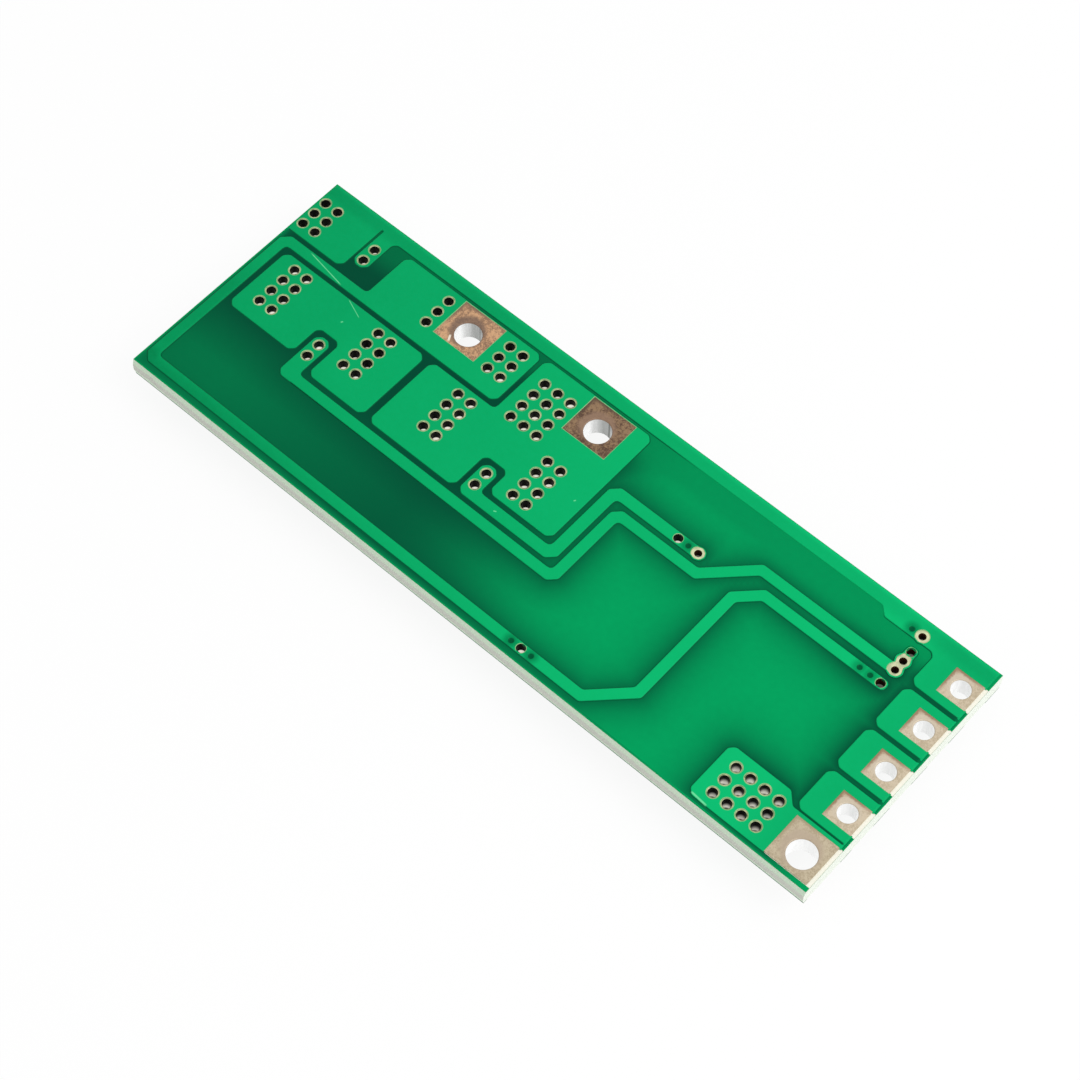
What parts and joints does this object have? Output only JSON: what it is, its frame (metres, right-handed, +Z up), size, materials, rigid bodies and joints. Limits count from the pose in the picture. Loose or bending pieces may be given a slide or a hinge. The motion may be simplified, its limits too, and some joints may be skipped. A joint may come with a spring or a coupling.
{
  "type": "battery protection board",
  "caption": "Green battery protection board lying solder side up on its power transistors, with groups of plated vias and bare wire pads.",
  "frame": {"origin": "centre of the board's length and width, at the flat tops of the transistors it stands on", "axes": "+X along the board towards the end with five wire pads, +Y across it towards the positive strip, +Z up out of the solder side"},
  "size_m": [0.06, 0.0208, 0.0041],
  "materials": {
    "laminate": "pale glass-fibre and epoxy, broken at the long edges",
    "solder_mask": "green lacquer, semi-gloss, brighter over copper",
    "copper": "bare copper, slightly tarnished, tinned at the holes",
    "tinned_leads": "tin-plated copper",
    "mould_compound": "black moulding compound",
    "resistor_ceramic": "black-coated ceramic with tinned ends",
    "capacitor_ceramic": "brown ceramic with tinned ends"
  },
  "bodies": {
    "root": {"balance_resistor_1": "resistor_ceramic", "balance_resistor_2": "resistor_ceramic", "balance_resistor_3": "resistor_ceramic", "balance_resistor_4": "resistor_ceramic", "balance_transistor_1": "mould_compound", "balance_transistor_2": "mould_compound", "balance_transistor_3": "mould_compound", "balance_transistor_4": "mould_compound", "battery_negative_copper": "copper", "cell_tap_1_copper": "copper", "cell_tap_2_copper": "copper", "cell_tap_3_copper": "copper", "charge_drain_copper": "copper", "charge_gate_copper": "copper", "charge_negative_copper": "copper", "discharge_gate_copper": "copper", "filter_capacitor_1": "capacitor_ceramic", "filter_capacitor_2": "capacitor_ceramic", "filter_capacitor_3": "capacitor_ceramic", "filter_capacitor_4": "capacitor_ceramic", "laminate": "laminate", "mosfet_1_case": "mould_compound", "mosfet_1_lead_frame": "tinned_leads", "mosfet_2_case": "mould_compound", "mosfet_2_lead_frame": "tinned_leads", "mosfet_3_case": "mould_compound", "mosfet_3_lead_frame": "tinned_leads", "mosfet_4_case": "mould_compound", "mosfet_4_lead_frame": "tinned_leads", "pack_negative_copper": "copper", "pack_positive_copper": "copper", "protection_ic_case": "mould_compound", "protection_ic_leads": "tinned_leads", "sense_resistor": "resistor_ceramic", "solder_mask_top": "solder_mask", "solder_mask_under": "solder_mask", "source_bus_copper": "copper", "under_power_copper": "copper", "under_signal_copper": "copper", "under_tap_copper": "copper"}
  },
  "joints": []
}
